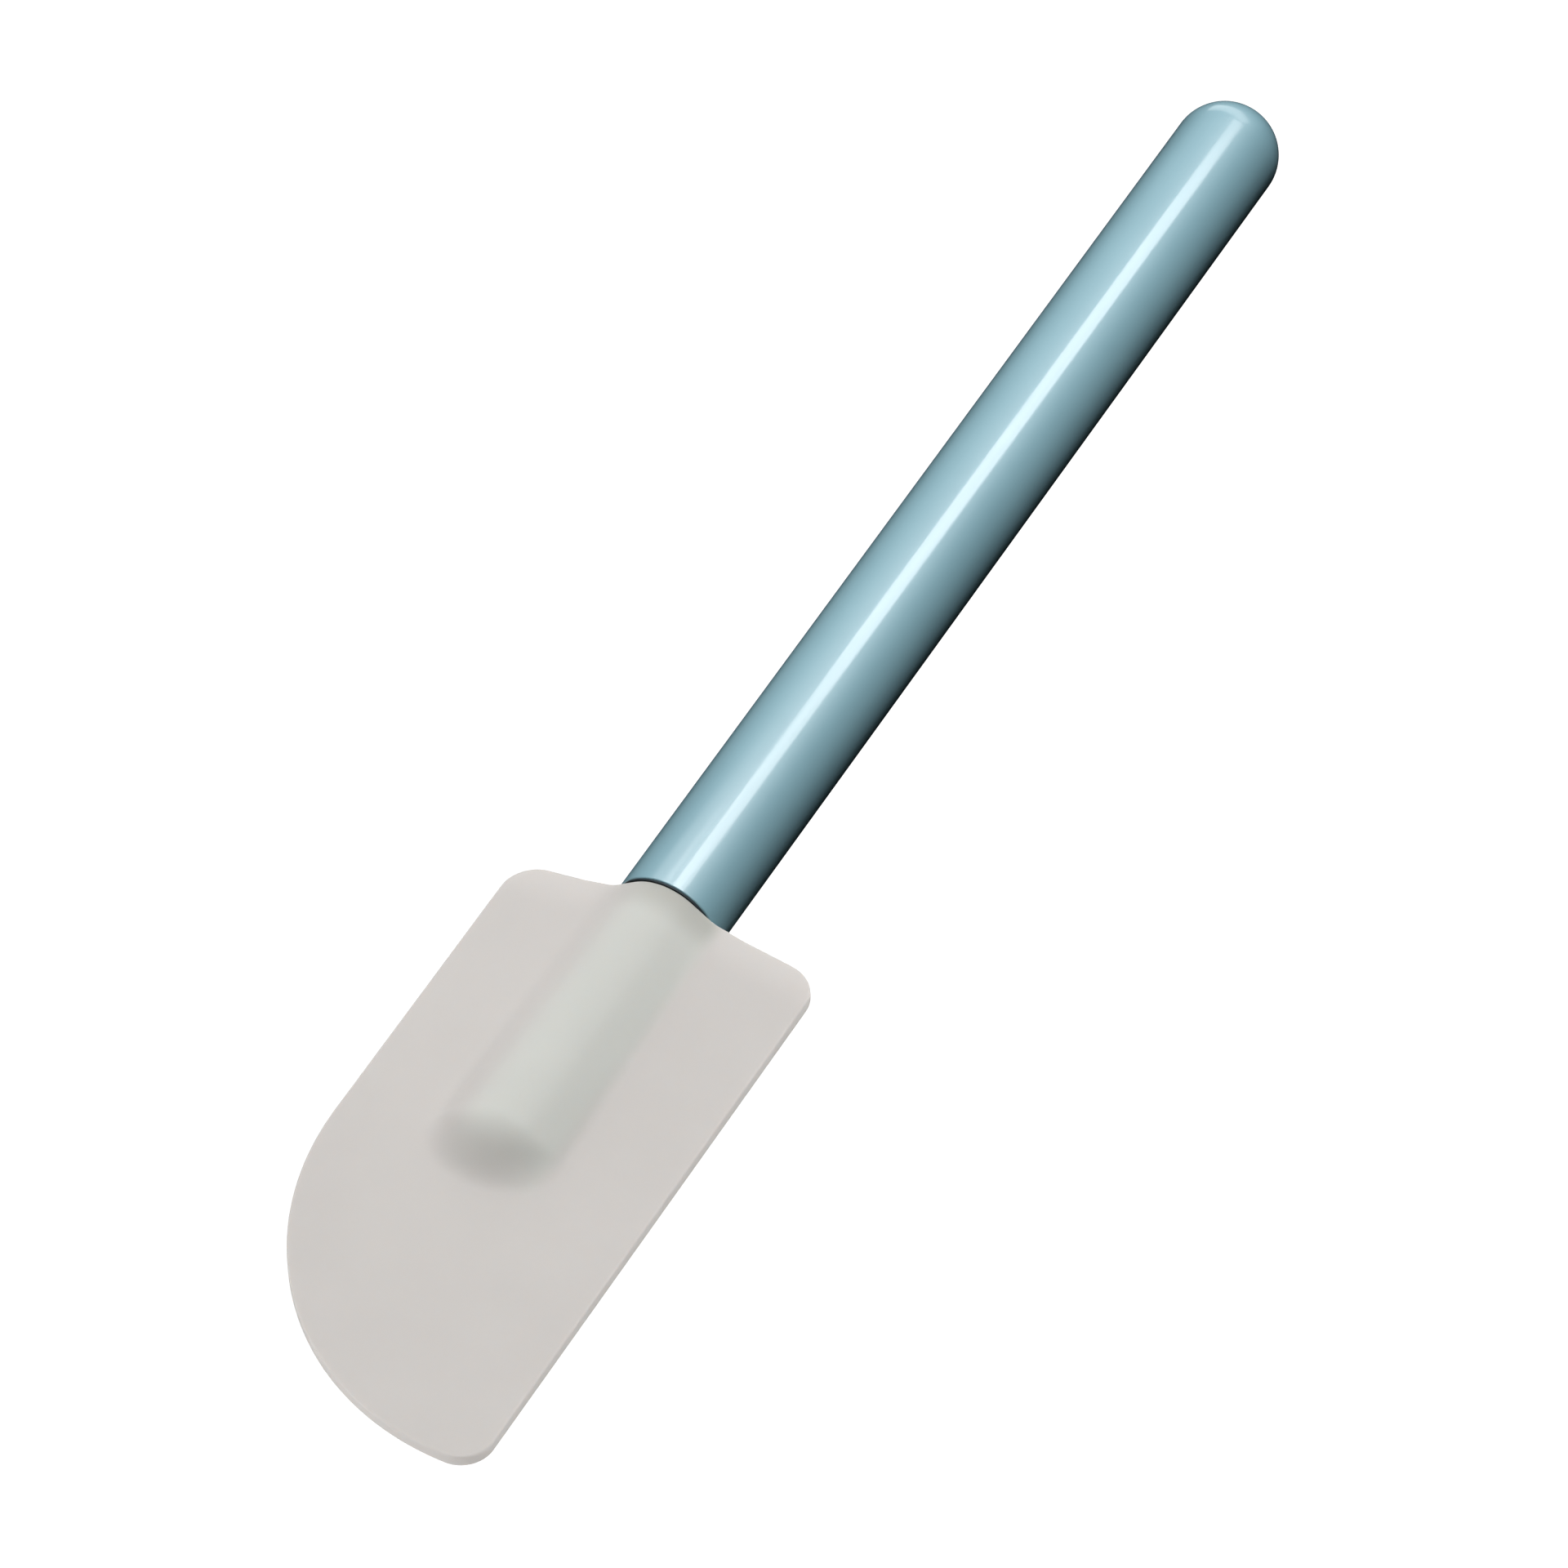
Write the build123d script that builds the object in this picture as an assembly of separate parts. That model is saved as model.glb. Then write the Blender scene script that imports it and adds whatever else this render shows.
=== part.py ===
from build123d import *

from math import hypot, sqrt
import os

# A push-on scraper spatula: a soft moulded head with one straight side, one
# large curved corner and a raised socket down its middle, on a straight round
# handle with a domed end.
#
# Frame: +X runs along the handle towards its domed end, the head's straight
# scraping side is at -Y, its curved corner at +Y, and its front face looks
# along +Z. The origin is on the handle's axis, in the plane of its open mouth.
# Lengths are in millimetres.

# --- Handle -------------------------------------------------------------------
handle_diameter = 16.0
handle_length = 178.9
handle_wall = 2.5
dome_wall = 16.0
mouth_round = 0.25
collar_step = 1.0
collar_length = 3.0

# --- Head, seen from the front --------------------------------------------------
head_length = 97.0
straight_side_offset = 24.8
curved_side_offset = 23.1
corner_radius = 4.8
tip_curve_length = 45.9
tip_flat = 0.2

# --- Head, in section -----------------------------------------------------------
rim_thickness = 1.9
spine_thickness = 10.4
neck_step = 0.3
neck_blend_radius = 9.6
spine_fade_length = 22.0

# --- Tang: its plug is in the handle, its tongue in the head's socket -----------
socket_wall = 2.2
tongue_thickness = 7.0
tongue_corner_radius = 2.0
tongue_length = 44.0
tongue_nose_chamfer = 1.2
grip_groove_count = 3
grip_groove_width = 2.4
grip_groove_depth = 0.5
grip_groove_pitch = 9.0
plug_length = 36.0
glue_groove_count = 3
glue_groove_width = 1.6
glue_groove_depth = 0.5
glue_groove_pitch = 7.0

# --- Stiffening rod, its bush and the mouth seal --------------------------------
rod_diameter = 3.0
rod_chamfer = 0.3
rod_to_nose = 8.0
rod_to_bore_end = 14.0
bush_length = 8.0
bush_to_rod_end = 2.0
seal_thickness = 0.3
seal_setback = 0.15

# --- Clearances -----------------------------------------------------------------
socket_clearance = 0.08
socket_end_gap = 0.6
ridge_past_socket = 0.5
glue_clearance = 0.05
rod_clearance = 0.02
seal_seat_overlap = 0.3

# --- Worked out from the sizes above --------------------------------------------
handle_radius = handle_diameter / 2
bore_radius = handle_radius - handle_wall
bore_end = handle_length - dome_wall
collar_seat_radius = bore_radius + collar_step
neck_radius = handle_radius - neck_step
head_end = -seal_thickness
head_tip = head_end - head_length
head_width = straight_side_offset + curved_side_offset
socket_end = -tongue_length - socket_end_gap
ridge_end = socket_end - ridge_past_socket
tongue_corner_reach = neck_radius - socket_wall - socket_clearance
tongue_width = 2 * tongue_corner_radius + 2 * sqrt(
    (tongue_corner_reach - tongue_corner_radius) ** 2
    - (tongue_thickness / 2 - tongue_corner_radius) ** 2
)
rod_start = rod_to_nose - tongue_length
rod_end = bore_end - rod_to_bore_end
plug_radius = bore_radius - glue_clearance
collar_radius = collar_seat_radius - glue_clearance
same_place = 0.01


def cross_plane(position):
    """The plane across the handle's axis at position, with its own x along Y."""
    return Plane(origin=(position, 0, 0), x_dir=(0, 1, 0), z_dir=(1, 0, 0))


def axial_cylinder(radius, start, end):
    """A solid cylinder on the handle's axis, from start to end along X."""
    return extrude(cross_plane(start) * Circle(radius), end - start)


def axial_ring(outer_radius, inner_radius, start, end):
    """A plain ring on the handle's axis, from start to end along X."""
    return axial_cylinder(outer_radius, start, end) - axial_cylinder(inner_radius, start, end)


def tongue_bar(margin, start, end):
    """A bar of the tongue's rounded section, grown by margin, from start to end."""
    section = RectangleRounded(
        tongue_width + 2 * margin, tongue_thickness + 2 * margin, tongue_corner_radius + margin
    )
    return extrude(cross_plane(start) * section, end - start)


def outline_prism(half_height):
    """The head's front outline, raised and lowered by half_height."""
    curve_width = head_width - corner_radius - tip_flat
    curve_centre = (head_tip + tip_curve_length, curved_side_offset - curve_width)
    curve = EllipticalCenterArc(curve_centre, tip_curve_length, curve_width, 90, arc_size=90)
    sides = Polyline(
        curve @ 1,
        (head_tip, -straight_side_offset),
        (head_end, -straight_side_offset),
        (head_end, curved_side_offset),
        curve @ 0,
    )
    outline = make_face(curve + sides)
    corners = [
        vertex
        for vertex in outline.vertices()
        if abs(vertex.X - head_end) < same_place
        or abs(vertex.Y + straight_side_offset) < same_place
    ]
    return extrude(fillet(corners, corner_radius), half_height, both=True)


def spine_section(position, thickness):
    """The head's section without its neck: thick on the axis, thin at both sides."""
    half_rim = rim_thickness / 2
    section = Polygon(
        (curved_side_offset, -half_rim),
        (curved_side_offset, half_rim),
        (0, thickness / 2),
        (-straight_side_offset, half_rim),
        (-straight_side_offset, -half_rim),
        (0, -thickness / 2),
        align=None,
    )
    return cross_plane(position) * section


def ridge_section():
    """The section with its round neck, blended into the faces on both sides."""
    section = spine_section(ridge_end, spine_thickness)
    section += cross_plane(ridge_end) * Circle(neck_radius)
    inner_corners = [
        vertex
        for vertex in section.vertices()
        if abs(hypot(vertex.Y, vertex.Z) - neck_radius) < same_place
    ]
    return fillet(inner_corners, neck_blend_radius)


def silicone_head():
    """The soft head: blade, raised ridge with a rounded end, and the tongue's socket."""
    ridge = extrude(ridge_section(), head_end - ridge_end)
    ridge += Pos(ridge_end, 0, 0) * Sphere(neck_radius)
    thick_end = spine_section(ridge_end, spine_thickness)
    thin_end = spine_section(ridge_end - spine_fade_length, rim_thickness)
    fade = loft([thick_end, thin_end], ruled=True)
    body = (ridge + fade) & outline_prism(handle_radius)
    body += outline_prism(rim_thickness / 2)
    return body - tongue_bar(socket_clearance, head_end, socket_end)


def handle_shell():
    """The handle: a straight tube with one open mouth and one domed end."""
    dome_centre = handle_length - handle_radius
    shell = axial_cylinder(handle_radius, 0, dome_centre)
    shell += Pos(dome_centre, 0, 0) * Sphere(handle_radius)
    shell -= axial_cylinder(bore_radius, 0, bore_end)
    shell -= axial_cylinder(collar_seat_radius, 0, collar_length)
    mouth_circles = shell.edges().filter_by_position(Axis.X, -same_place, same_place)
    return fillet(mouth_circles.sort_by(SortBy.RADIUS)[-1], mouth_round)


def grip_grooves():
    """The shallow grooves across the tongue's two flat faces, for the head to grip."""
    groove = Box(grip_groove_width, tongue_width, 2 * grip_groove_depth)
    return [
        Pos(grip_groove_pitch * number - tongue_length, 0, side * tongue_thickness / 2) * groove
        for number in range(1, grip_groove_count + 1)
        for side in (-1, 1)
    ]


def glue_grooves():
    """The ring grooves that hold the glue round the plug."""
    starts = [
        collar_length + glue_groove_pitch * number for number in range(1, glue_groove_count + 1)
    ]
    return [
        axial_ring(bore_radius, plug_radius - glue_groove_depth, start, start + glue_groove_width)
        for start in starts
    ]


def tang():
    """The stiff tang: a plug glued in the handle, a collar and a flat tongue."""
    tongue = tongue_bar(0, -tongue_length, 0)
    nose_edges = tongue.faces().sort_by(Axis.X)[0].edges()
    body = chamfer(nose_edges, tongue_nose_chamfer)
    body += axial_cylinder(plug_radius, 0, plug_length)
    body += axial_cylinder(collar_radius, 0, collar_length)
    for groove in grip_grooves() + glue_grooves():
        body -= groove
    return body - axial_cylinder(rod_diameter / 2 + rod_clearance, rod_start, plug_length)


def core_rod():
    """The steel rod that runs from the tongue to the bush near the handle's end."""
    rod = axial_cylinder(rod_diameter / 2, rod_start, rod_end)
    return chamfer(rod.edges().filter_by(GeomType.CIRCLE), rod_chamfer)


def rod_bush():
    """The bush that holds the rod's far end on the handle's axis."""
    bush_end = rod_end - bush_to_rod_end
    return axial_ring(plug_radius, rod_diameter / 2 + rod_clearance, bush_end - bush_length, bush_end)


def mouth_seal():
    """The thin flat seal between the handle's mouth and the head."""
    inner_radius = collar_radius - seal_seat_overlap
    return axial_ring(handle_radius - seal_setback, inner_radius, head_end, 0)


nodes = {
    "silicone_head": silicone_head(),
    "handle_shell": handle_shell(),
    "tang": tang(),
    "core_rod": core_rod(),
    "rod_bush": rod_bush(),
    "mouth_seal": mouth_seal(),
}

os.makedirs("parts", exist_ok=True)
for name, solid in nodes.items():
    export_step(solid, f"parts/{name}.step")
    print(name, round(solid.volume, 1), "mm3")
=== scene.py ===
"""The looks of a push-on scraper spatula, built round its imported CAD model.

Lengths are in metres in the CAD model's frame: +X runs along the handle to its
domed end, the straight scraping side of the head is at -Y, its curved corner at
+Y, and its front face looks along +Z.
"""

import logging
import math
from collections.abc import Callable
from dataclasses import dataclass, field
from enum import Enum

import bmesh
import bpy
from mathutils import Matrix, Quaternion, Vector


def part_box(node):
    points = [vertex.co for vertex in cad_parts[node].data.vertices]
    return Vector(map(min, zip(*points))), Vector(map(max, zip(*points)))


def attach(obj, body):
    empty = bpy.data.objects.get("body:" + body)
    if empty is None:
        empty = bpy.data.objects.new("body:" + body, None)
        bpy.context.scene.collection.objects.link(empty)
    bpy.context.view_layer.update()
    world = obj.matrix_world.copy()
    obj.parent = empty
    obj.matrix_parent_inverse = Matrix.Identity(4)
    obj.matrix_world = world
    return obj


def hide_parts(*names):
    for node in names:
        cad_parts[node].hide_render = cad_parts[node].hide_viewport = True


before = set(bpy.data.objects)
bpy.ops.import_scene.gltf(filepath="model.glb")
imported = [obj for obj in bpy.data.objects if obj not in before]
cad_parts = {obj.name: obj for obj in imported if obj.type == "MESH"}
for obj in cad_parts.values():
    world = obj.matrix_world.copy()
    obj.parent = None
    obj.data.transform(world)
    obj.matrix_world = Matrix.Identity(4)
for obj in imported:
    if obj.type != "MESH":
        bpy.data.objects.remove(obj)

MM = 0.001
SAME_PLACE = 0.01 * MM
MERGE_DISTANCE = 0.001 * MM
CLOUD_SPAN = (0.35, 0.65)
GRAIN_SPAN = (0.3, 0.7)
log = logging.getLogger("spatula")


class Body(Enum):
    """The CAD bodies that pieces ride on."""

    HANDLE = "handle"
    HEAD = "head"


class Slot(Enum):
    """The record's material slots."""

    SILICONE = "head_silicone"
    PLASTIC = "handle_plastic"
    TANG = "tang_nylon"
    ROD = "rod_steel"
    BUSH = "bush_nylon"
    SEAL = "seal_rubber"


# --- Bench tools ----------------------------------------------------------------


def deselect_all() -> None:
    """Leave object mode and clear the selection."""
    if bpy.context.object and bpy.context.object.mode != "OBJECT":
        bpy.ops.object.mode_set(mode="OBJECT")
    bpy.ops.object.select_all(action="DESELECT")


def take_up(piece: bpy.types.Object) -> None:
    """Make the piece the only selected and active object."""
    deselect_all()
    piece.select_set(True)
    bpy.context.view_layer.objects.active = piece


def open_for_editing(piece: bpy.types.Object, element: str) -> None:
    """Open the piece in edit mode with nothing selected.

    Args:
        piece: The object to edit.
        element: The select mode, "VERT", "EDGE" or "FACE".
    """
    take_up(piece)
    bpy.ops.object.mode_set(mode="EDIT")
    bpy.ops.mesh.select_mode(type=element)
    bpy.ops.mesh.select_all(action="DESELECT")


def close_editing() -> None:
    """Go back to object mode."""
    bpy.ops.object.mode_set(mode="OBJECT")


def pick(kind: str, wanted: Callable[[Vector, object], bool]) -> None:
    """Select vertices, edges or faces of the open mesh by their place.

    Args:
        kind: "verts", "edges" or "faces".
        wanted: Says from an element's middle, and the element, whether to take it.
    """
    modes = {"verts": "VERT", "edges": "EDGE", "faces": "FACE"}
    bpy.ops.mesh.select_mode(type=modes[kind])
    bpy.ops.mesh.select_all(action="DESELECT")
    mesh = bpy.context.object.data
    work = bmesh.from_edit_mesh(mesh)
    for element in getattr(work, kind):
        if kind == "verts":
            middle = element.co
        elif kind == "edges":
            middle = (element.verts[0].co + element.verts[1].co) / 2
        else:
            middle = element.calc_center_median()
        if wanted(middle, element):
            element.select_set(True)
    work.select_flush_mode()
    bmesh.update_edit_mesh(mesh)


def apply_modifier(piece: bpy.types.Object, kind: str, **settings: object) -> None:
    """Add a modifier to the piece and apply it at once.

    Args:
        piece: The object to change.
        kind: The modifier's type.
        **settings: The modifier's settings.
    """
    take_up(piece)
    modifier = piece.modifiers.new(kind.title(), kind)
    for name, value in settings.items():
        setattr(modifier, name, value)
    bpy.ops.object.modifier_apply(modifier=modifier.name)


def drawn_line(name: str, points: list[Vector]) -> bpy.types.Object:
    """An open line of straight edges through the points, ready to sweep.

    Args:
        name: The new object's name.
        points: The line's corners, in order.

    Returns:
        The new object.
    """
    mesh = bpy.data.meshes.new(name)
    edges = [(index, index + 1) for index in range(len(points) - 1)]
    mesh.from_pydata(points, edges, [])
    piece = bpy.data.objects.new(name, mesh)
    bpy.context.scene.collection.objects.link(piece)
    return piece


def arc_points(
    centre: tuple[float, float], radius: float, first: float, last: float, steps: int
) -> list[tuple[float, float]]:
    """Points along a circular arc in a plane.

    Args:
        centre: The arc's centre.
        radius: The arc's radius.
        first: The angle of its first point, from the plane's second axis.
        last: The angle of its last point.
        steps: How many chords it has.

    Returns:
        The points, both ends included.
    """
    angles = [first + (last - first) * step / steps for step in range(steps + 1)]
    return [
        (centre[0] + radius * math.sin(angle), centre[1] + radius * math.cos(angle))
        for angle in angles
    ]


def clear_away(piece: bpy.types.Object) -> None:
    """Delete a helper object and its mesh."""
    mesh = piece.data
    bpy.data.objects.remove(piece)
    bpy.data.meshes.remove(mesh)


def smooth_by_angle(piece: bpy.types.Object, angle: float) -> None:
    """Shade the piece smooth, apart from edges sharper than angle, in degrees."""
    take_up(piece)
    bpy.ops.object.shade_smooth_by_angle(angle=math.radians(angle))


# --- Finishes -------------------------------------------------------------------


class NodeBoard:
    """A new material's nodes, all reading Object coordinates."""

    def __init__(self, name: str) -> None:
        """Start a material that has only its Principled shader."""
        self.material = bpy.data.materials.new(name)
        self.material.use_nodes = True
        self.tree = self.material.node_tree
        self.surface = self.tree.nodes["Principled BSDF"]
        self.place = self.tree.nodes.new("ShaderNodeTexCoord").outputs["Object"]

    def link(self, source: bpy.types.NodeSocket, target: bpy.types.NodeSocket) -> None:
        """Join an output to an input."""
        self.tree.links.new(source, target)

    def stretched(self, scale: tuple[float, float, float]) -> bpy.types.NodeSocket:
        """Object coordinates stretched by scale."""
        mapping = self.tree.nodes.new("ShaderNodeMapping")
        mapping.inputs["Scale"].default_value = scale
        self.link(self.place, mapping.inputs["Vector"])
        return mapping.outputs["Vector"]

    def noise(
        self,
        scale: float,
        detail: float,
        stretch: tuple[float, float, float] = (1, 1, 1),
    ) -> bpy.types.NodeSocket:
        """A noise pattern.

        Args:
            scale: Waves in a metre.
            detail: How many finer layers are added.
            stretch: How many times finer it is along each axis.

        Returns:
            The pattern's value, about 0.5 on average.
        """
        noise = self.tree.nodes.new("ShaderNodeTexNoise")
        noise.inputs["Scale"].default_value = scale
        noise.inputs["Detail"].default_value = detail
        self.link(self.stretched(stretch), noise.inputs["Vector"])
        return noise.outputs["Fac"]

    def fit(
        self, value: bpy.types.NodeSocket, low: float, high: float, start: float, end: float
    ) -> bpy.types.NodeSocket:
        """The value's range low to high, refitted to run from start to end."""
        fitted = self.tree.nodes.new("ShaderNodeMapRange")
        fitted.interpolation_type = "SMOOTHSTEP"
        settings = {"From Min": low, "From Max": high, "To Min": start, "To Max": end}
        for name, number in settings.items():
            fitted.inputs[name].default_value = number
        self.link(value, fitted.inputs["Value"])
        return fitted.outputs["Result"]

    def rise(
        self, value: bpy.types.NodeSocket, span: tuple[float, float]
    ) -> bpy.types.NodeSocket:
        """A soft step from 0 to 1 as the value crosses the span."""
        return self.fit(value, *span, 0.0, 1.0)

    def fall(
        self, value: bpy.types.NodeSocket, span: tuple[float, float]
    ) -> bpy.types.NodeSocket:
        """A soft step from 1 to 0 as the value crosses the span."""
        return self.fit(value, *span, 1.0, 0.0)

    def mixed(
        self,
        kind: str,
        amount: bpy.types.NodeSocket,
        first: tuple[float, float, float] | bpy.types.NodeSocket,
        second: tuple[float, float, float] | bpy.types.NodeSocket,
    ) -> bpy.types.NodeSocket:
        """Two colours mixed.

        Args:
            kind: How they mix, "MIX" or "MULTIPLY".
            amount: How far the second is mixed in, from 0 to 1.
            first: The first colour.
            second: The second colour.

        Returns:
            The mixed colour.
        """
        mix = self.tree.nodes.new("ShaderNodeMix")
        mix.data_type = "RGBA"
        mix.blend_type = kind
        self.link(amount, mix.inputs["Factor"])
        colour_inputs = [socket for socket in mix.inputs if socket.type == "RGBA"]
        for socket, colour in zip(colour_inputs, (first, second)):
            if isinstance(colour, bpy.types.NodeSocket):
                self.link(colour, socket)
            else:
                socket.default_value = (*colour, 1.0)
        return next(socket for socket in mix.outputs if socket.type == "RGBA")

    def blend(
        self,
        amount: bpy.types.NodeSocket,
        first: tuple[float, float, float],
        second: tuple[float, float, float],
    ) -> bpy.types.NodeSocket:
        """A colour that goes from first to second as amount goes from 0 to 1."""
        return self.mixed("MIX", amount, first, second)

    def tinted(
        self,
        colour: bpy.types.NodeSocket,
        tint: tuple[float, float, float],
        amount: bpy.types.NodeSocket,
    ) -> bpy.types.NodeSocket:
        """The colour, multiplied by the tint as amount goes from 0 to 1."""
        return self.mixed("MULTIPLY", amount, colour, tint)

    def along(self, axis: int) -> bpy.types.NodeSocket:
        """The Object coordinate along axis 0, 1 or 2."""
        parts = self.tree.nodes.new("ShaderNodeSeparateXYZ")
        self.link(self.place, parts.inputs["Vector"])
        return parts.outputs[axis]

    def maths(self, operation: str, *values: bpy.types.NodeSocket) -> bpy.types.NodeSocket:
        """The result of a maths operation on one or two values."""
        maths = self.tree.nodes.new("ShaderNodeMath")
        maths.operation = operation
        for value, socket in zip(values, maths.inputs):
            self.link(value, socket)
        return maths.outputs["Value"]

    def both(
        self, first: bpy.types.NodeSocket, second: bpy.types.NodeSocket
    ) -> bpy.types.NodeSocket:
        """Where two masks overlap."""
        return self.maths("MULTIPLY", first, second)

    def bump(
        self,
        height: bpy.types.NodeSocket,
        depth: float,
        under: bpy.types.NodeSocket | None = None,
    ) -> bpy.types.NodeSocket:
        """A bump of the given depth in metres, on top of the bump under it."""
        bump = self.tree.nodes.new("ShaderNodeBump")
        bump.inputs["Distance"].default_value = depth
        self.link(height, bump.inputs["Height"])
        if under:
            self.link(under, bump.inputs["Normal"])
        return bump.outputs["Normal"]

    def set(self, **values: float | tuple[float, float, float]) -> None:
        """Put constant values on the shader's own sockets, _ standing for a space."""
        for name, value in values.items():
            self.surface.inputs[name.replace("_", " ")].default_value = value


@dataclass(frozen=True)
class SiliconeFinish:
    """Soft moulded silicone: matt, faintly mottled and a little translucent.

    It carries painted light in its colour: a painted highlight, lighter and cooler,
    over the ridge's core, a painted glow at the thin end edge and a painted contact
    shadow against the handle's mouth. Each edge below is the stretch that a tint takes
    to fade in or out, and waves are counted in a metre.
    """

    light_tint: tuple[float, float, float] = (0.655, 0.628, 0.604)
    dark_tint: tuple[float, float, float] = (0.640, 0.613, 0.590)
    # Painted highlight: the ridge is painted lighter and cooler, fading unevenly from side to
    # side with the light.
    ridge_highlight_tint: tuple[float, float, float] = (1.010, 1.070, 1.050)
    # Painted glow: the end edge beside the neck is painted lighter where light shines through
    # and onto it.
    end_glow_tint: tuple[float, float, float] = (1.070, 1.070, 1.070)
    # Painted shadow: the ridge is painted darker under the handle's mouth, where its contact
    # shadow falls.
    joint_shadow_tint: tuple[float, float, float] = (0.800, 0.790, 0.775)
    ridge_nose_edge: tuple[float, float] = (-56.0 * MM, -46.0 * MM)
    ridge_curved_side_edge: tuple[float, float] = (0.5 * MM, 8.0 * MM)
    ridge_straight_side_edge: tuple[float, float] = (-10.0 * MM, -7.5 * MM)
    beside_ridge_edge: tuple[float, float] = (6.5 * MM, 11.0 * MM)
    end_glow_edge: tuple[float, float] = (-7.5 * MM, -1.5 * MM)
    joint_shadow_edge: tuple[float, float] = (-6.5 * MM, -1.0 * MM)
    mottle_waves: float = 38.0
    mottle_depth: float = 0.03 * MM
    sheen_waves: float = 900.0
    grain_waves: float = 2600.0
    grain_depth: float = 0.004 * MM
    roughness: tuple[float, float] = (0.57, 0.67)
    specular: float = 0.3
    scatter: float = 0.5
    scatter_reach: tuple[float, float, float] = (1.0, 0.85, 0.75)
    scatter_depth: float = 1.2 * MM

    def colour(
        self, board: NodeBoard, mottle: bpy.types.NodeSocket
    ) -> bpy.types.NodeSocket:
        """The mottled colour with its three painted light and shade tints.

        Args:
            board: The material's nodes.
            mottle: The mottled colour.

        Returns:
            The tinted colour.
        """
        along, across = board.along(0), board.along(1)
        on_width = board.both(
            board.fall(across, self.ridge_curved_side_edge),
            board.rise(across, self.ridge_straight_side_edge),
        )
        on_ridge = board.both(on_width, board.rise(along, self.ridge_nose_edge))
        beside_ridge = board.rise(board.maths("ABSOLUTE", across), self.beside_ridge_edge)
        end_glow_mask = board.both(board.rise(along, self.end_glow_edge), beside_ridge)
        joint_shadow_mask = board.both(board.rise(along, self.joint_shadow_edge), on_ridge)
        # Painted light: a painted highlight over the ridge, a painted glow at the end edge and
        # a painted contact shadow under the handle's mouth.
        colour = board.tinted(mottle, self.ridge_highlight_tint, on_ridge)
        colour = board.tinted(colour, self.end_glow_tint, end_glow_mask)
        return board.tinted(colour, self.joint_shadow_tint, joint_shadow_mask)

    def material(self) -> bpy.types.Material:
        """The finish as a material."""
        board = NodeBoard("moulded_silicone")
        cloud = board.noise(self.mottle_waves, 3)
        mottle = board.blend(board.rise(cloud, CLOUD_SPAN), self.dark_tint, self.light_tint)
        board.link(self.colour(board, mottle), board.surface.inputs["Base Color"])
        sheen = board.fit(board.noise(self.sheen_waves, 2), *GRAIN_SPAN, *self.roughness)
        board.link(sheen, board.surface.inputs["Roughness"])
        grain = board.bump(board.noise(self.grain_waves, 2), self.grain_depth)
        ripple = board.bump(cloud, self.mottle_depth, grain)
        board.link(ripple, board.surface.inputs["Normal"])
        board.set(
            Subsurface_Weight=self.scatter,
            Subsurface_Radius=self.scatter_reach,
            Subsurface_Scale=self.scatter_depth,
            Specular_IOR_Level=self.specular,
        )
        return board.material


@dataclass(frozen=True)
class GlossFinish:
    """Glossy moulded plastic with a clear skin, hairline wear and faint orange peel."""

    tint: tuple[float, float, float] = (0.215, 0.392, 0.456)
    deep_tint: tuple[float, float, float] = (0.202, 0.374, 0.438)
    cloud_waves: float = 30.0
    hairline_waves: float = 60.0
    hairline_stretch: tuple[float, float, float] = (1.0, 30.0, 30.0)
    roughness: tuple[float, float] = (0.47, 0.53)
    density: float = 1.9
    peel_waves: float = 700.0
    peel_depth: float = 0.0015 * MM
    skin: float = 1.0
    skin_roughness: float = 0.12
    skin_density: float = 1.5

    def material(self) -> bpy.types.Material:
        """The finish as a material."""
        board = NodeBoard("glossy_blue_plastic")
        cloud = board.rise(board.noise(self.cloud_waves, 3), CLOUD_SPAN)
        colour = board.blend(cloud, self.deep_tint, self.tint)
        board.link(colour, board.surface.inputs["Base Color"])
        hairlines = board.noise(self.hairline_waves, 4, self.hairline_stretch)
        sheen = board.fit(hairlines, *GRAIN_SPAN, *self.roughness)
        board.link(sheen, board.surface.inputs["Roughness"])
        peel = board.bump(board.noise(self.peel_waves, 1), self.peel_depth)
        board.link(peel, board.surface.inputs["Normal"])
        board.link(peel, board.surface.inputs["Coat Normal"])
        board.set(
            Coat_Weight=self.skin,
            Coat_Roughness=self.skin_roughness,
            Coat_IOR=self.skin_density,
            IOR=self.density,
        )
        return board.material


@dataclass(frozen=True)
class NylonFinish:
    """Stiff moulded nylon, waxy, with a fine spark-eroded grain."""

    name: str
    tint: tuple[float, float, float]
    dark_tint: tuple[float, float, float]
    cloud_waves: float = 60.0
    grain_waves: float = 1800.0
    grain_depth: float = 0.01 * MM
    roughness: tuple[float, float] = (0.42, 0.56)
    scatter: float = 0.15
    scatter_depth: float = 0.6 * MM

    def material(self) -> bpy.types.Material:
        """The finish as a material."""
        board = NodeBoard(self.name)
        cloud = board.rise(board.noise(self.cloud_waves, 3), CLOUD_SPAN)
        colour = board.blend(cloud, self.dark_tint, self.tint)
        board.link(colour, board.surface.inputs["Base Color"])
        grain = board.noise(self.grain_waves, 3)
        sheen = board.fit(grain, *GRAIN_SPAN, *self.roughness)
        board.link(sheen, board.surface.inputs["Roughness"])
        board.link(board.bump(grain, self.grain_depth), board.surface.inputs["Normal"])
        board.set(Subsurface_Weight=self.scatter, Subsurface_Scale=self.scatter_depth)
        return board.material


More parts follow.
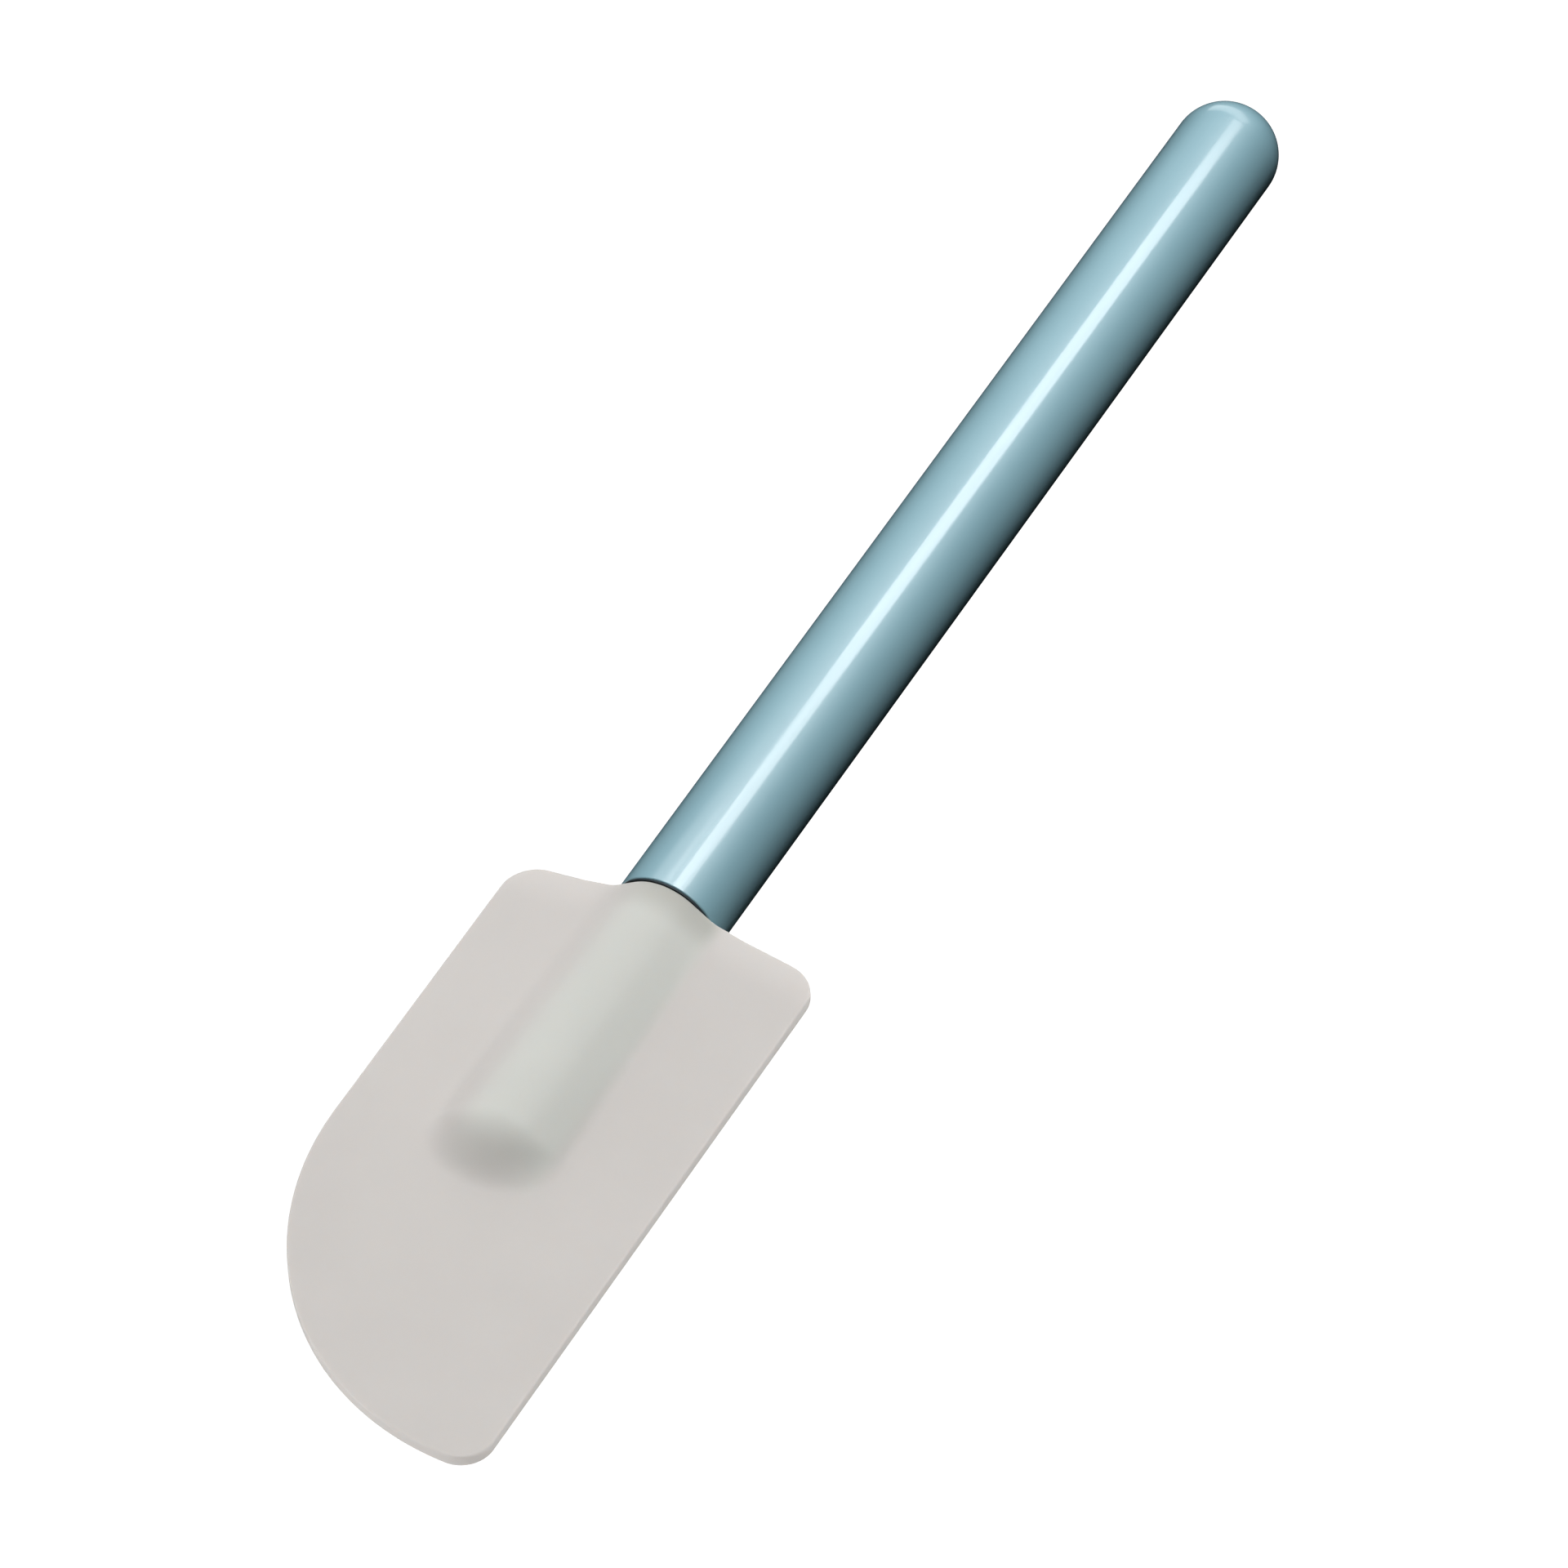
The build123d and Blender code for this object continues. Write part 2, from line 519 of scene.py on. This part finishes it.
@dataclass(frozen=True)
class SteelFinish:
    """Drawn steel rod, with fine lines along it."""

    tint: tuple[float, float, float] = (0.56, 0.57, 0.58)
    dark_tint: tuple[float, float, float] = (0.47, 0.48, 0.50)
    line_waves: float = 120.0
    line_stretch: tuple[float, float, float] = (1.0, 40.0, 40.0)
    line_depth: float = 0.006 * MM
    roughness: tuple[float, float] = (0.26, 0.42)

    def material(self) -> bpy.types.Material:
        """The finish as a material."""
        board = NodeBoard("drawn_steel")
        lines = board.noise(self.line_waves, 4, self.line_stretch)
        colour = board.blend(board.rise(lines, GRAIN_SPAN), self.dark_tint, self.tint)
        board.link(colour, board.surface.inputs["Base Color"])
        sheen = board.fit(lines, *GRAIN_SPAN, *self.roughness)
        board.link(sheen, board.surface.inputs["Roughness"])
        board.link(board.bump(lines, self.line_depth), board.surface.inputs["Normal"])
        board.set(Metallic=1.0)
        return board.material


@dataclass(frozen=True)
class SealShadowLineFinish:
    """Thin black rubber, slightly dusty, whose black ring is also a painted shadow line in the
    gap at the handle's mouth.
    """

    # Near-black: the seal's rubber, and a painted shadow line standing in for the shade in the
    # mouth's gap.
    tint: tuple[float, float, float] = (0.012, 0.020, 0.026)
    dusty_tint: tuple[float, float, float] = (0.020, 0.030, 0.036)
    dust_waves: float = 500.0
    dust_depth: float = 0.005 * MM
    roughness: tuple[float, float] = (0.6, 0.8)
    specular: float = 0.3

    def material(self) -> bpy.types.Material:
        """The finish as a material."""
        board = NodeBoard("dark_rubber_shadow_line")
        dust = board.noise(self.dust_waves, 3)
        colour = board.blend(board.rise(dust, CLOUD_SPAN), self.tint, self.dusty_tint)
        board.link(colour, board.surface.inputs["Base Color"])
        sheen = board.fit(dust, *GRAIN_SPAN, *self.roughness)
        board.link(sheen, board.surface.inputs["Roughness"])
        board.link(board.bump(dust, self.dust_depth), board.surface.inputs["Normal"])
        board.set(Specular_IOR_Level=self.specular)
        return board.material


def dress(piece: bpy.types.Object, material: bpy.types.Material) -> None:
    """Give the piece one material all over."""
    piece.data.materials.clear()
    piece.data.materials.append(material)


# --- The soft head --------------------------------------------------------------


def soft_max(first: float, second: float, bend: float) -> float:
    """The larger of two heights, with a soft bend where they cross."""
    near = max(bend - abs(first - second), 0.0)
    return max(first, second) + near * near / (4 * bend)


@dataclass(frozen=True)
class HeadRelief:
    """How high the head's front face stands over its middle plane.

    A round-topped ridge with sloped flanks and a steeper nose runs down into a
    face that is thickest at the neck and thins towards both sides and the tip.
    """

    top_radius: float = 7.7 * MM
    nose_centre: float = -46.3 * MM
    nose_squeeze: float = 1.35
    neck_flank: float = 35.5
    side_flank: float = 43.0
    side_bend: float = 0.6 * MM
    nose_flank: float = 50.0
    nose_bend: float = 4.2 * MM
    rim_half: float = 0.95 * MM
    neck_half: float = 5.3 * MM
    crest_round: float = 4.0 * MM
    foot: float = 24.2 * MM
    foot_bend: float = 0.05
    thin_from: float = -62.0 * MM
    thin_bend: float = 0.35

    def ridge(self, reach: float, flank: float) -> float:
        """The ridge's height at a distance from its middle, for a flank's angle."""
        if reach < self.top_radius * math.sin(flank):
            return math.sqrt(self.top_radius**2 - reach**2)
        return self.top_radius / math.cos(flank) - reach * math.tan(flank)

    def face(self, place: Vector) -> float:
        """The face's own height at a place, without the ridge."""
        aside = math.hypot(place.y, self.crest_round)
        share_across = soft_max(1 - aside / self.foot, 0.0, self.foot_bend)
        share_along = soft_max(1 - place.x / self.thin_from, 0.0, self.thin_bend)
        return self.rim_half + (self.neck_half - self.rim_half) * share_across * share_along

    def height(self, place: Vector) -> float:
        """The whole relief's height at a place."""
        ahead = max(self.nose_centre - place.x, 0.0) * self.nose_squeeze
        reach = math.hypot(ahead, place.y)
        nose_share = ahead / reach if reach > 0 else 0.0
        along = min(place.x / self.nose_centre, 1.0)
        side = self.neck_flank + (self.side_flank - self.neck_flank) * along
        flank = side + (self.nose_flank - side) * nose_share
        bend = self.side_bend + (self.nose_bend - self.side_bend) * nose_share
        return soft_max(self.ridge(reach, math.radians(flank)), self.face(place), bend)


@dataclass
class SiliconeHead:
    """The soft head: blade, ridge with a rounded nose, and the tongue's socket.

    Its front face is one sheet of squares, raised to the relief. The sheet is
    walled down to the middle plane, mirrored for the back, and rounded at its rim.
    """

    node: str = "silicone_head"
    corner_radius: float = 4.8 * MM
    tip_curve_length: float = 45.9 * MM
    tip_flat: float = 0.2 * MM
    relief: HeadRelief = HeadRelief()
    rim_round: float = 0.25 * MM
    rim_steps: int = 4
    top_roll_length: float = 7.5 * MM
    top_roll_depth: float = 0.3 * MM
    neck_clear: float = 9.0 * MM
    top_roll_blend: float = 4.0 * MM
    socket_width: float = 10.31 * MM
    socket_height: float = 7.16 * MM
    socket_corner: float = 2.08 * MM
    socket_depth: float = 44.3 * MM
    rim_strip: float = 0.6 * MM
    corner_steps: int = 12
    curve_steps: int = 138
    rows_across: int = 76
    rows_along: int = 158
    most_cuts: int = 100
    long_side: float = 2.0 * MM
    socket_steps: int = 8
    rim_angle: float = 50.0
    smooth_angle: float = 32.0
    low: Vector = field(init=False)
    high: Vector = field(init=False)

    def __post_init__(self) -> None:
        """Take the head's box from the CAD model."""
        self.low, self.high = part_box(self.node)

    def outline(self) -> bpy.types.Object:
        """The head's front outline as a flat loop of evenly spaced edges."""
        size = self.high - self.low
        middle = (self.low + self.high) / 2
        deselect_all()
        bpy.ops.mesh.primitive_plane_add(size=1.0, location=(middle.x, middle.y, 0))
        sheet = bpy.context.object
        sheet.name = "silicone_head_skin"
        bpy.ops.transform.resize(value=(size.x, size.y, 1))
        bpy.ops.object.transform_apply(location=True, rotation=False, scale=True)
        curve_width = size.y - self.corner_radius - self.tip_flat
        stretch = self.tip_curve_length / curve_width
        open_for_editing(sheet, "VERT")
        bpy.ops.mesh.select_all(action="SELECT")
        bpy.ops.transform.resize(value=(1, stretch, 1), center_override=(0, 0, 0))
        pick("verts", lambda place, _: place.x < middle.x and place.y > middle.y)
        bpy.ops.mesh.bevel(
            offset=self.tip_curve_length, segments=self.curve_steps, affect="VERTICES"
        )
        bpy.ops.mesh.select_all(action="SELECT")
        bpy.ops.transform.resize(value=(1, 1 / stretch, 1), center_override=(0, 0, 0))
        pick("verts", self.at_square_corner)
        bpy.ops.mesh.bevel(
            offset=self.corner_radius, segments=self.corner_steps, affect="VERTICES"
        )
        bpy.ops.mesh.select_all(action="SELECT")
        bpy.ops.mesh.delete(type="ONLY_FACE")
        self.divide_sides(middle)
        close_editing()
        return sheet

    def at_square_corner(self, place: Vector, _: object) -> bool:
        """Whether a place is one of the box's three corners that keep their small radius."""
        at_end = abs(place.x - self.high.x) < SAME_PLACE
        at_tip = abs(place.x - self.low.x) < SAME_PLACE
        at_straight_side = abs(place.y - self.low.y) < SAME_PLACE
        at_curved_side = abs(place.y - self.high.y) < SAME_PLACE
        return (at_end and (at_straight_side or at_curved_side)) or (
            at_tip and at_straight_side
        )

    def divide_sides(self, middle: Vector) -> None:
        """Divide the outline's straight sides so that facing sides have equal counts.

        Args:
            middle: The middle of the head's box; not used.
        """
        half_corner = self.corner_steps // 2
        half_curve = self.curve_steps // 2
        counts = {
            "end": self.rows_across - 2 * half_corner,
            "straight": self.rows_along - 2 * half_corner,
            "curved": self.rows_along - half_corner - half_curve,
        }
        places = {
            "end": lambda place: abs(place.x - self.high.x) < SAME_PLACE,
            "straight": lambda place: abs(place.y - self.low.y) < SAME_PLACE,
            "curved": lambda place: abs(place.y - self.high.y) < SAME_PLACE,
        }
        for side, on_side in places.items():
            pick(
                "edges",
                lambda place, edge, on_side=on_side: on_side(place)
                and edge.calc_length() > self.long_side,
            )
            halves = 2 if counts[side] > self.most_cuts else 1
            if halves == 2:
                bpy.ops.mesh.subdivide(number_cuts=1)
            bpy.ops.mesh.subdivide(number_cuts=counts[side] // halves - 1)

    def face_sheet(self) -> bpy.types.Object:
        """The outline filled with a rim strip and a grid of squares inside it."""
        sheet = self.outline()
        open_for_editing(sheet, "EDGE")
        bpy.ops.mesh.select_all(action="SELECT")
        bpy.ops.mesh.edge_face_add()
        bpy.ops.mesh.inset(thickness=self.rim_strip, depth=0, use_boundary=True)
        bpy.ops.mesh.delete(type="ONLY_FACE")
        pick("edges", lambda _, edge: len(edge.link_faces) == 1 and not self.on_outline(edge))
        self.mark_grid_corner()
        bpy.ops.mesh.fill_grid(span=self.rows_along)
        bpy.ops.mesh.select_all(action="SELECT")
        bpy.ops.mesh.normals_make_consistent(inside=False)
        close_editing()
        return sheet

    def on_outline(self, edge: bmesh.types.BMEdge) -> bool:
        """Whether an edge of the rim strip is on its outer side."""
        face = edge.link_faces[0]
        outward = (edge.verts[0].co + edge.verts[1].co) / 2 - face.calc_center_median()
        middle = Vector(((self.low.x + self.high.x) / 2, (self.low.y + self.high.y) / 2, 0))
        from_middle = face.calc_center_median() - middle
        return outward.dot(from_middle) > 0

    def mark_grid_corner(self) -> None:
        """Make the inner loop's corner by the end and the straight side the active one."""
        mesh = bpy.context.object.data
        work = bmesh.from_edit_mesh(mesh)
        corner = Vector((self.high.x, self.low.y, 0))
        chosen = [vertex for vertex in work.verts if vertex.select]
        nearest = min(chosen, key=lambda vertex: (vertex.co - corner).length)
        work.select_history.clear()
        work.select_history.add(nearest)
        bmesh.update_edit_mesh(mesh)

    def raise_face(self, sheet: bpy.types.Object) -> None:
        """Raise the flat sheet to the relief and roll its top edge down a little."""
        for vertex in sheet.data.vertices:
            vertex.co.z = self.relief.height(vertex.co) - self.top_roll(vertex.co)

    def top_roll(self, place: Vector) -> float:
        """How far the face drops at a place near the handle end, beside the neck."""
        along = (place.x - (self.high.x - self.top_roll_length)) / self.top_roll_length
        beside = (abs(place.y) - self.neck_clear) / self.top_roll_blend
        beside = min(max(beside, 0.0), 1.0)
        share = beside * beside * (3 - 2 * beside)
        return self.top_roll_depth * max(along, 0.0) ** 2 * share

    def close_body(self, sheet: bpy.types.Object) -> None:
        """Wall the sheet down to the middle plane, mirror it and round the rim."""
        open_for_editing(sheet, "EDGE")
        pick("edges", lambda _, edge: len(edge.link_faces) == 1)
        bpy.ops.mesh.extrude_edges_move()
        bpy.ops.transform.resize(value=(1, 1, 0), center_override=(0, 0, 0))
        bpy.ops.mesh.select_all(action="SELECT")
        bpy.ops.mesh.normals_make_consistent(inside=False)
        close_editing()
        apply_modifier(
            sheet,
            "MIRROR",
            use_axis=(False, False, True),
            use_clip=True,
            merge_threshold=MERGE_DISTANCE,
        )
        apply_modifier(
            sheet,
            "BEVEL",
            width=self.rim_round,
            segments=self.rim_steps,
            limit_method="ANGLE",
            angle_limit=math.radians(self.rim_angle),
            use_clamp_overlap=False,
        )

    def cut_socket(self, skin: bpy.types.Object) -> None:
        """Cut the tongue's socket into the handle end."""
        past_end = 2 * MM
        length = self.socket_depth + past_end
        middle = self.high.x - self.socket_depth + length / 2
        deselect_all()
        bpy.ops.mesh.primitive_cube_add(size=1.0, location=(middle, 0, 0))
        core = bpy.context.object
        bpy.ops.transform.resize(value=(length, self.socket_width, self.socket_height))
        bpy.ops.object.transform_apply(location=True, rotation=False, scale=True)
        open_for_editing(core, "EDGE")
        pick(
            "edges",
            lambda _, edge: abs(edge.verts[0].co.x - edge.verts[1].co.x) > self.socket_depth,
        )
        bpy.ops.mesh.bevel(offset=self.socket_corner, segments=self.socket_steps)
        close_editing()
        apply_modifier(skin, "BOOLEAN", operation="DIFFERENCE", object=core, solver="EXACT")
        clear_away(core)

    def build(self) -> bpy.types.Object:
        """Make the head, dress it, and let it stand for its CAD node."""
        skin = self.face_sheet()
        self.raise_face(skin)
        self.close_body(skin)
        self.cut_socket(skin)
        smooth_by_angle(skin, self.smooth_angle)
        dress(skin, SiliconeFinish().material())
        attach(skin, Body.HEAD.value)
        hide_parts(self.node)
        return skin


# --- The handle -----------------------------------------------------------------


@dataclass
class HandleShell:
    """The round handle: a lathed tube with an open mouth and a domed end."""

    node: str = "handle_shell"
    wall: float = 2.5 * MM
    dome_wall: float = 16.0 * MM
    mouth_round: float = 0.25 * MM
    collar_step: float = 1.0 * MM
    collar_length: float = 3.0 * MM
    turns: int = 160
    dome_steps: int = 40
    lip_steps: int = 5
    smooth_angle: float = 40.0

    def lathe_line(self) -> list[Vector]:
        """The wall's section, from the dome's top round the mouth to the bore's end."""
        low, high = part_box(self.node)
        radius, length = high.y, high.x
        bore = radius - self.wall
        seat = bore + self.collar_step
        bore_end = length - self.dome_wall
        quarter = math.pi / 2
        dome = arc_points((0, length - radius), radius, 0, quarter, self.dome_steps)
        lip_centre = (radius - self.mouth_round, low.x + self.mouth_round)
        lip = arc_points(lip_centre, self.mouth_round, quarter, math.pi, self.lip_steps)
        inside = [
            (seat, low.x),
            (seat, low.x + self.collar_length),
            (bore, low.x + self.collar_length),
            (bore, bore_end),
            (0.0, bore_end),
        ]
        return [Vector((along, 0, out)) for out, along in dome + lip + inside]

    def build(self) -> bpy.types.Object:
        """Spin the section round the axis, dress it, and let it stand for its CAD node."""
        shell = drawn_line("handle_tube", self.lathe_line())
        open_for_editing(shell, "VERT")
        bpy.ops.mesh.select_all(action="SELECT")
        bpy.ops.mesh.spin(steps=self.turns, angle=2 * math.pi, center=(0, 0, 0), axis=(1, 0, 0))
        bpy.ops.mesh.select_all(action="SELECT")
        bpy.ops.mesh.remove_doubles(threshold=MERGE_DISTANCE)
        bpy.ops.mesh.normals_make_consistent(inside=False)
        close_editing()
        smooth_by_angle(shell, self.smooth_angle)
        dress(shell, GlossFinish().material())
        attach(shell, Body.HANDLE.value)
        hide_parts(self.node)
        return shell


@dataclass
class Fittings:
    """The small parts that keep their CAD shape and get a finish."""

    tang_finish: NylonFinish = NylonFinish(
        "pale_nylon", (0.62, 0.63, 0.61), (0.57, 0.58, 0.56)
    )
    bush_finish: NylonFinish = NylonFinish(
        "grey_nylon", (0.30, 0.32, 0.33), (0.26, 0.28, 0.29)
    )
    rod_finish: SteelFinish = SteelFinish()
    seal_shadow_line_finish: SealShadowLineFinish = SealShadowLineFinish()

    def build(self) -> list[bpy.types.Object]:
        """Dress the tang, rod, bush and seal, and return them."""
        finishes = {
            "tang": (self.tang_finish, Slot.TANG),
            "core_rod": (self.rod_finish, Slot.ROD),
            "rod_bush": (self.bush_finish, Slot.BUSH),
            "mouth_seal": (self.seal_shadow_line_finish, Slot.SEAL),
        }
        for name, (finish, slot) in finishes.items():
            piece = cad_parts[name]
            dress(piece, finish.material())
        return [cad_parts[name] for name in finishes]


# --- Studio ---------------------------------------------------------------------


@dataclass
class Camera:
    """The camera, looking down the tool from above the head's tip."""

    aim: tuple[float, float, float] = (20.1 * MM, -8.0 * MM, 12.5 * MM)
    distance: float = 1.5
    azimuth: float = -150.2
    elevation: float = 47.2
    roll: float = -1.93
    lens: float = 249.4
    nearest: float = 0.05
    farthest: float = 50.0

    def build(self) -> None:
        """Place the camera and make it the scene's own."""
        turn, lift = math.radians(self.azimuth), math.radians(self.elevation)
        back = Vector(
            (math.cos(turn) * math.cos(lift), math.sin(turn) * math.cos(lift), math.sin(lift))
        )
        camera = bpy.data.objects.new("camera", bpy.data.cameras.new("camera"))
        bpy.context.scene.collection.objects.link(camera)
        camera.data.lens = self.lens
        camera.data.clip_start = self.nearest
        camera.data.clip_end = self.farthest
        camera.rotation_mode = "QUATERNION"
        camera.location = Vector(self.aim) + back * self.distance
        level = (-back).to_track_quat("-Z", "Y")
        camera.rotation_quaternion = level @ Quaternion((0, 0, 1), math.radians(self.roll))
        bpy.context.scene.camera = camera


@dataclass(frozen=True)
class SoftBox:
    """A flat soft light that shines on one body only, its long side along the handle.

    Attributes:
        name: The light's name.
        body: The body that it lights.
        direction: Where it hangs, as seen from the point that it shines at.
        power: Its power in watts.
        over: How far along the handle's axis that point is.
        distance: How far off it hangs.
        length: Its long side.
        width: Its short side.
        in_reflections: Whether glossy surfaces show it.
    """

    name: str
    body: Body
    direction: tuple[float, float, float]
    power: float
    over: float = 0.04
    distance: float = 1.5
    length: float = 0.9
    width: float = 0.9
    in_reflections: bool = True

    def build(self) -> bpy.types.Object:
        """Hang the light and return it."""
        away = Vector(self.direction).normalized()
        lamp = bpy.data.lights.new(self.name, "AREA")
        lamp.shape = "RECTANGLE"
        lamp.size = self.length
        lamp.size_y = self.width
        lamp.energy = self.power
        light = bpy.data.objects.new(self.name, lamp)
        bpy.context.scene.collection.objects.link(light)
        light.location = Vector((self.over, 0, 0)) + away * self.distance
        along = (Vector((1, 0, 0)) - away * away.x).normalized()
        axes = Matrix((along, away.cross(along), away)).transposed()
        light.rotation_mode = "QUATERNION"
        light.rotation_quaternion = axes.to_quaternion()
        light.visible_glossy = self.in_reflections
        return light


@dataclass
class Studio:
    """A plain white floor and soft lights.

    Attributes:
        floor_drop: How far the floor lies under the tool.
        floor_size: The floor's side.
        whiteness: The floor's own tone.
        glow: How strongly the floor shines by itself.
        wall: How far off a wall of light stands, and its two sides.
    """

    floor_drop: float = 0.6
    floor_size: float = 30.0
    whiteness: float = 0.9
    glow: float = 1.2
    wall: dict[str, float] = field(
        default_factory=lambda: {"distance": 2.2, "length": 4.0, "width": 4.0}
    )

    def build(self, bodies: dict[Body, list[bpy.types.Object]]) -> None:
        """Lay the floor and hang the lights.

        Args:
            bodies: The pieces that ride on each body.
        """
        self.lay_floor()
        self.set_dark_air()
        bpy.context.scene.view_settings.view_transform = "Standard"
        groups = {body: self.group(body, pieces) for body, pieces in bodies.items()}
        for plan in (*self.handle_lights(), *self.head_lights()):
            light = plan.build()
            light.light_linking.receiver_collection = groups[plan.body]

    def group(self, body: Body, pieces: list[bpy.types.Object]) -> bpy.types.Collection:
        """A collection of one body's pieces, for the lights that shine on them."""
        collection = bpy.data.collections.new(f"lit_{body.value}")
        for piece in pieces:
            collection.objects.link(piece)
        return collection

    def handle_lights(self) -> list[SoftBox]:
        """A long strip for the streak down the handle, and its soft boxes."""
        handle = Body.HANDLE
        over_strip = (0.0, -0.12, 0.99)
        near = {"distance": 1.0, "over": 0.12, "length": 1.04, "width": 0.41}
        far = {"distance": 1.0, "over": 0.84, "length": 0.40, "width": 0.45}
        return [
            SoftBox("strip_near", handle, over_strip, 7.0, **near),
            SoftBox("strip_far", handle, over_strip, 4.0, **far),
            SoftBox("left_box", handle, (0.2, 0.52, 0.79), 4.0),
            SoftBox("left_top_box", handle, (0.18, 0.12, 0.94), 6.5),
            SoftBox("top_box", handle, (0.1, -0.40, 0.86), 3.2),
            SoftBox("end_box", handle, (0.9, 0.23, 0.38), 4.5, length=0.5, width=1.6),
            SoftBox("far_box", handle, (0.9, -0.17, 0.36), 0.5),
            SoftBox("left_wall", handle, (0.0, 0.91, 0.42), 5.5, **self.wall),
            SoftBox("under_box", handle, (0.3, 0.2, -0.9), 3.0, in_reflections=False),
        ]

    def head_lights(self) -> list[SoftBox]:
        """Wide walls of light round the head, and soft boxes over and beside it."""
        head = Body.HEAD
        return [
            SoftBox("head_strip", head, (0.72, -0.11, 0.99), 3.0, width=0.5, length=0.4),
            SoftBox("head_left_box", head, (0.2, 0.52, 0.79), 4.0),
            SoftBox("head_top_box", head, (0.3, -0.40, 0.86), 12.0),
            SoftBox("head_far_box", head, (0.8, 0.33, 0.48), 1.5),
            SoftBox("head_right_box", head, (0.0, -0.91, -0.42), 10.0),
            SoftBox("head_tip_box", head, (-0.9, 0.44, -0.24), 12.0),
            SoftBox("tip_wall", head, (-1.0, -0.08, 0.18), 30.0, **self.wall),
            SoftBox("far_wall", head, (1.0, -0.08, 0.18), 28.0, **self.wall),
            SoftBox("left_wall", head, (0.0, 0.91, 0.42), 32.0, **self.wall),
            SoftBox("right_wall", head, (0.0, -0.90, -0.20), 9.0, **self.wall),
            SoftBox("head_under_box", head, (0.2, 0.2, -0.95), 8.0, in_reflections=False),
        ]

    def lay_floor(self) -> None:
        """Lay a wide pale floor well under the tool, as a plain white ground."""
        deselect_all()
        place = (0, 0, -self.floor_drop)
        bpy.ops.mesh.primitive_plane_add(size=self.floor_size, location=place)
        floor = bpy.context.object
        floor.name = "studio_floor"
        board = NodeBoard("white_floor")
        board.set(Base_Color=(*[self.whiteness] * 3, 1.0), Roughness=0.9)
        board.set(Emission_Color=(1.0, 1.0, 1.0, 1.0), Emission_Strength=self.glow)
        dress(floor, board.material)
        floor.visible_diffuse = False
        floor.visible_glossy = False
        floor.visible_transmission = False
        floor.visible_shadow = False

    def set_dark_air(self) -> None:
        """Give the room no light of its own."""
        world = bpy.data.worlds.new("studio_air")
        world.use_nodes = True
        world.node_tree.nodes["Background"].inputs["Strength"].default_value = 0.0
        bpy.context.scene.world = world


def main() -> None:
    """Build the camera, the pieces and the studio."""
    logging.basicConfig(level=logging.INFO, format="%(name)s: %(message)s")
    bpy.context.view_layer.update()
    Camera().build()
    bodies = {
        Body.HEAD: [SiliconeHead().build()],
        Body.HANDLE: [HandleShell().build(), *Fittings().build()],
    }
    for body, pieces in bodies.items():
        for piece in pieces:
            log.info("%s on the %s: %d faces", piece.name, body.value, len(piece.data.polygons))
    Studio().build(bodies)
    deselect_all()


if __name__ == "__main__":
    main()
